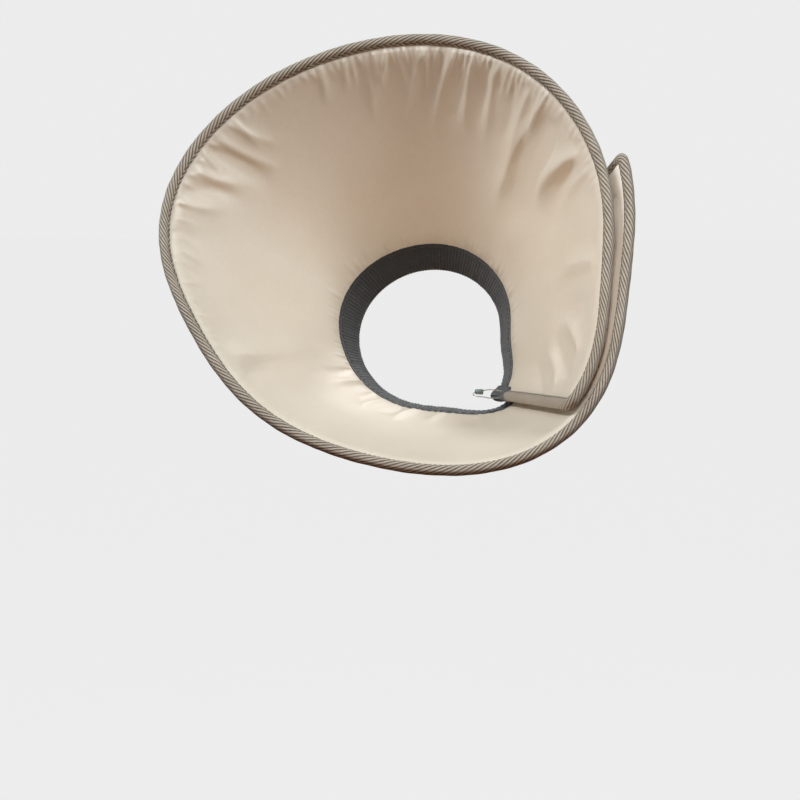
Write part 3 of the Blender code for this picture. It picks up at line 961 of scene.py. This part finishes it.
for stretch in STRETCHES:
    name, start, end = stretch[:3]
    count = round(math.radians(end - start) * NECK_RADIUS / RIB) * 6
    azimuth, across = np.broadcast_arrays(np.linspace(start, end, count + 1)[:, None], cuff_across)
    phase = np.radians(azimuth) * NECK_RADIUS / RIB * 2 * math.pi
    rib = np.maximum(0.0, np.cos(phase)) ** 0.7 - 0.5
    hem = 1.0 - 0.75 * bell(across, 17.0 * MM, 1.6 * MM)
    puff = (0.32 * rib + 0.20 * soft_waves(azimuth * 1.7, across, 31, 1.0)) * hem * MM
    push = np.sign(cuff_offset) * np.minimum(1.0, np.abs(cuff_offset) / (1.2 * MM))
    neck_ribs = 0.22 * MM * rib * (np.abs(cuff_offset) < 1.4 * MM)
    points = on_panel(azimuth, across - neck_ribs, cuff_offset + push * puff)
    uv = np.stack(np.broadcast_arrays(np.radians(azimuth) * NECK_RADIUS, cuff_reach), axis=-1)
    cuff = grid_mesh("neck_cuff_" + name, points, uv, KNIT)
    keep(cuff, stretch, "neck_cuff")
    blocks = []
    step = math.degrees(0.8 * MM / NECK_RADIUS)
    for side in (-1, 1):
        place = start + step
        while place + 4 * step < end:
            spots = [(place + k * step, CUFF_STITCH_IN) for k in range(4)]
            blocks.append(stitch(spots, side, 2.42, 0.16, 0.20))
            place += 4 * step
    stitches = joined_mesh("cuff_stitches_" + name, blocks, DARK_THREAD)
    blended(stitches, stretch)
    # Elastic inside the cuff's fold.
    azimuth, across = np.broadcast_arrays(np.linspace(start, end, 90)[:, None], elastic_across)
    points = on_panel(azimuth, across, elastic_offset)
    outside = elastic_offset > 0.0
    uv = np.stack([np.radians(azimuth) * NECK_RADIUS, across + 20.0 * MM * outside], axis=-1)
    band = grid_mesh("neck_elastic_" + name, points, uv, ELASTIC, closed=True)
    closed_ends(band)
    keep(band, stretch, "neck_elastic")

# ---------- neck corner tabs

TAB_HALF = (
    (8.3, 1.9), (8.5, 2.4), (8.2, 2.9), (7.4, 3.08), (6.2, 3.2), (4.8, 3.4), (3.4, 3.4), (2.2, 3.15),
    (1.2, 2.6), (0.4, 1.8), (-0.1, 0.9),
)
TAB_LOW = 0.4 * MM
TAB_HIGH = CUFF_WIDTH + TAB_LENGTH
TAB_STITCH_IN = 7.3 * MM
tab_across, tab_offset, tab_reach = whole_fold(TAB_HALF, -0.3)
for label, free_end in (("outer", 0.0), ("inner", PANEL_TURN)):
    body = label + "_flap"
    slant, across = np.broadcast_arrays(np.linspace(TAB_LOW, TAB_HIGH, 85)[:, None], tab_across)
    ridge = np.maximum(0.0, np.cos(slant / (1.7 * MM) * 2 * math.pi)) ** 0.7 - 0.4
    ends = 1.0 - 0.5 * bell(slant, TAB_HIGH, 1.2 * MM) - 0.5 * bell(slant, TAB_LOW, 1.0 * MM)
    offset = (tab_offset + np.sign(tab_offset) * 0.22 * MM * ridge) * (0.9 * ends + 0.1)
    points = on_panel(from_end(free_end, across - 0.15 * MM * ridge, slant), slant, offset)
    uv = np.stack(np.broadcast_arrays(slant, tab_reach), axis=-1)
    tab = grid_mesh("corner_tab_cover_" + label, points, uv, KNIT)
    fixed(tab, body, "charcoal_knit", "corner_tab_" + label)
    blocks = []
    for side in (-1, 1):
        for first in np.arange(3.0, 28.0, 3.0) * MM:
            slants = [first + k * 0.7 * MM for k in range(4)]
            spots = [(from_end(free_end, TAB_STITCH_IN, slant), slant) for slant in slants]
            blocks.append(stitch(spots, side, 3.12, 0.16, 0.19))
    stitches = joined_mesh("corner_tab_stitches_" + label, blocks, DARK_THREAD)
    fixed(stitches, body, "charcoal_knit")

# ---------- closure strips

STRIP_FROM = 36.0 * MM
STRIP_TO = 122.0 * MM
HOOK_STEP = 1.7 * MM
# One hook: how far up the strip and out of it its points are, in mm.
HOOK_SHAPE = ((0.0, 0.0), (0.0, 0.55), (0.16, 0.85), (0.42, 0.88), (0.52, 0.66))


def strip_layout(start, end, thick, spacing=1.5 * MM):
    """Azimuths, slants, heights and edge distances of a thin strip with rounded edges."""
    width = math.radians(end - start) * panel_radius(start, 0.08)
    across = np.linspace(start, end, max(8, int(width / spacing)))
    azimuth, slant = np.meshgrid(across, np.linspace(STRIP_FROM, STRIP_TO, 58), indexing="ij")
    side = np.radians(np.minimum(azimuth - start, end - azimuth)) * panel_radius(azimuth, slant)
    rim = np.minimum(np.minimum(slant - STRIP_FROM, STRIP_TO - slant), side)
    return azimuth, slant, thick * np.sqrt(np.clip(rim / (0.6 * MM), 0.0, 1.0)), rim


for node, start, end in (("hook_strip_end", 9.0, 20.0), ("hook_strip_middle", 30.0, 41.0)):
    azimuth, slant, height, rim = strip_layout(start, end, 0.75 * MM)
    seam = 0.12 * MM * bell(rim, 1.9 * MM, 0.5 * MM)
    points = on_panel(azimuth, slant, lining_rest(azimuth, slant) - 0.45 * MM - height - seam)
    strip = grid_mesh(node + "_tape", points[:, ::-1], arc_uv(azimuth, slant)[:, ::-1], HOOK)
    fixed(strip, "outer_flap", "hook_tape", node)
    blocks = []
    for s in np.arange(STRIP_FROM + 3.2 * MM, STRIP_TO - 3.0 * MM, HOOK_STEP):
        width = math.radians(end - start) * panel_radius(start, s)
        for x in np.arange(3.0 * MM, width - 2.8 * MM, 1.6 * MM):
            az = start + math.degrees(x / panel_radius(start, s))
            base = float(lining_rest(np.array(az), np.array(s))) - 1.15 * MM
            path = [on_panel(az, s + rise * MM, base - out * MM) for rise, out in HOOK_SHAPE]
            side = on_panel(az + 0.4, s, base) - path[0]
            blocks.append(bead(path, 0.13 * MM, [side] * len(path), sides=4))
    hooks = joined_mesh(node + "_hooks", blocks, HOOK_PLASTIC)
    fixed(hooks, "outer_flap", "hook_tape")

azimuth, slant, height, rim = strip_layout(364.0, 406.0, 0.8 * MM, 0.9 * MM)
pile = 0.22 * MM * np.random.default_rng(4).random(azimuth.shape) * smooth(2.0 * MM, 3.2 * MM, rim)
points = on_panel(azimuth, slant, shell_offset(azimuth, slant) + 0.05 * MM + height + pile)
loop = grid_mesh("loop_strip_pile", points, arc_uv(azimuth, slant), LOOP)
blended(loop, STRETCHES[2])
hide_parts("loop_strip")

# ---------- loop pin

PIN_SLANT = 21.0 * MM
PIN_SIZE = (5.0, 3.0, 2.6)
PIN_TAPER = 0.16
low, high = (Vector(corner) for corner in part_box("loop_pin_head"))
center = (low + high) / 2
cone_x = Vector((1.0, 0.0, 0.0))
cone_y = Vector(tilted(np.array([0.0, 1.0, 0.0])))
cone_z = Vector(tilted(np.array([0.0, 0.0, 1.0])))


def at_pin(x, y, z):
    """A point beside the pin's head, in mm along the cone frame's axes."""
    return center + (cone_x * x + cone_y * y + cone_z * z) * MM


block = bmesh.new()
bmesh.ops.create_cube(block, size=1.0)
for vertex in block.verts:
    x, y, z = (along * size for along, size in zip(vertex.co, PIN_SIZE))
    taper = 1.0 - PIN_TAPER * (x < 0)
    vertex.co = at_pin(x, y * taper, z * taper)
bmesh.ops.bevel(block, geom=block.edges[:], offset=0.45 * MM, segments=3, affect="EDGES")
bmesh.ops.recalc_face_normals(block, faces=block.faces)
head = bpy.data.meshes.new("loop_pin_block")
block.to_mesh(head)
block.free()
head.materials.append(PLASTIC)
head.shade_smooth()
fixed(in_scene("loop_pin_block", head), "inner_flap", "grey_green_plastic", "loop_pin_head")

# The line's way round the head, in mm; both its ends are let into the tape.
AROUND_PIN = (
    (3.2, 1.2, 0.3), (2.1, 0.4, 0.0), (0.0, 0.0, 0.0), (-2.1, -0.3, 0.0), (-3.3, -0.7, 0.0),
    (-3.5, -1.7, 0.0), (-2.7, -2.7, 0.0), (-0.4, -3.1, 0.0), (2.6, -3.0, -0.2),
)
face = Vector(on_panel(from_end(PANEL_TURN, 3.5 * MM, PIN_SLANT), PIN_SLANT, -3.1 * MM))
edge = Vector(on_panel(from_end(PANEL_TURN, 0.2 * MM, PIN_SLANT), PIN_SLANT, -1.0 * MM))
route = [face, face.lerp(at_pin(3.6, 1.6, 0.4), 0.45) + cone_y * 0.8 * MM]
route += [at_pin(*spot) for spot in AROUND_PIN]
route += [edge.lerp(route[-1], 0.45) - cone_y * 1.2 * MM, edge]
line = bpy.data.curves.new("loop_pin_line", "CURVE")
line.dimensions = "3D"
line.bevel_depth = 0.3 * MM
line.bevel_resolution = 3
line.use_fill_caps = True
spline = line.splines.new("NURBS")
spline.points.add(len(route) - 1)
spline.order_u = 4
spline.use_endpoint_u = True
for point, spot in zip(spline.points, route):
    point.co = (*spot, 1.0)
line.materials.append(NYLON)
fixed(in_scene("loop_pin_line", line), "inner_flap", "clear_nylon", "loop_pin_filament")

# ---------- floor, light, camera

FLOOR_DROP = 0.62
BACKDROP = 0.84
ROOM_LIGHT = 0.015
WHITE = (1.0, 1.0, 1.0, 1.0)


def seen_only(n, seen, unseen):
    """Mixes two shaders: one as the picture shows it, one as it lights the object."""
    mix = n.add("MixShader")
    n.put(mix.inputs, (n.add("LightPath").outputs["Is Camera Ray"], unseen, seen))
    return mix.outputs[0]


def floor_material():
    """A floor that is dark for the object and as pale as the backdrop in the picture."""
    made, n, shader = new_material("pale_floor")
    n.dress(shader, {
        "Base Color": n.ramp(n.noise(3.0, 2.0), (0.3, (0.018,) * 3), (0.7, (0.022,) * 3)),
        "Roughness": 0.9,
        "Specular IOR Level": 0.1,
    })
    glow, both = n.add("Emission"), n.add("AddShader")
    n.put(glow.inputs, (WHITE, BACKDROP - 0.008))
    n.put(both.inputs, (shader.outputs[0], glow.outputs[0]))
    n.link(seen_only(n, both.outputs[0], shader.outputs[0]), n.tree.nodes["Material Output"].inputs[0])
    return made


floor_mesh = bpy.data.meshes.new("floor")
plane = bmesh.new()
bmesh.ops.create_grid(plane, x_segments=8, y_segments=8, size=30.0)
plane.to_mesh(floor_mesh)
plane.free()
floor_mesh.materials.append(floor_material())
floor = in_scene("floor", floor_mesh)
floor.location.z = CAD_BOX[0][2] - FLOOR_DROP

world = bpy.data.worlds.new("studio")
bpy.context.scene.world = world
world.use_nodes = True
sky = Nodes(world.node_tree)
shades = []
for strength in (BACKDROP, ROOM_LIGHT):
    shade = sky.add("Background")
    sky.put(shade.inputs, (WHITE, strength))
    shades.append(shade.outputs[0])
sky.link(seen_only(sky, *shades), world.node_tree.nodes["World Output"].inputs[0])


def light(name, kind, place, target, **settings):
    data = bpy.data.lights.new(name, kind)
    for key, value in settings.items():
        setattr(data, key, value)
    made = in_scene(name, data)
    made.location = place
    made.rotation_euler = (Vector(target) - Vector(place)).to_track_quat("-Z", "Y").to_euler()


MOUTH = (0.0, -0.08, 0.03)
COOL = (0.84, 0.925, 0.985)
for name, place, target, size, power, tint in (
    ("left_softbox", (-1.25, -0.62, 1.55), MOUTH, 0.5, 25.5, COOL),
    ("right_softbox", (1.25, -0.62, 1.45), MOUTH, 0.5, 20.5, COOL),
    ("key_softbox", (0.1, -1.45, 1.55), MOUTH, 0.5, 12.5, (0.86, 0.93, 0.985)),
    ("front_fill", (-0.15, -1.8, 0.35), MOUTH, 0.8, 1.6, (0.9, 0.95, 1.0)),
    ("warm_bounce", (0.0, -1.1, -0.45), (0.0, -0.08, 0.06), 0.5, 1.35, (1.0, 0.40, 0.10)),
    ("back_softbox", (0.5, 1.6, 1.2), (0.0, -0.05, 0.05), 0.8, 12.0, (0.97, 0.98, 1.0)),
):
    light(name, "AREA", place, target, shape="DISK", size=size, energy=power, color=tint)
light("lap_accent", "SPOT", (-0.34, -1.35, 0.16), (0.150, -0.075, 0.050), energy=15.0,
      spot_size=math.radians(10.5), spot_blend=1.0, shadow_soft_size=0.06)

CAMERA_AZIMUTH = math.radians(8.0)
CAMERA_ELEVATION = math.radians(6.0)
CAMERA_DISTANCE = 1.230
CAMERA_LEFT = 0.0209
CAMERA_DOWN = 0.0403
lens = bpy.data.cameras.new("camera")
lens.lens = 90.0
lens.sensor_width = 36.0
lens.clip_start = 0.01
lens.clip_end = 60.0
camera = in_scene("camera", lens)
right = Vector((math.cos(CAMERA_AZIMUTH), math.sin(CAMERA_AZIMUTH), 0.0))
back = Vector((right.y, -right.x, 0.0)) * math.cos(CAMERA_ELEVATION)
back.z = math.sin(CAMERA_ELEVATION)
camera.location = back * CAMERA_DISTANCE - right * CAMERA_LEFT - back.cross(right) * CAMERA_DOWN
camera.rotation_euler = back.to_track_quat("Z", "Y").to_euler()
bpy.context.scene.camera = camera
bpy.context.scene.view_settings.view_transform = "Standard"
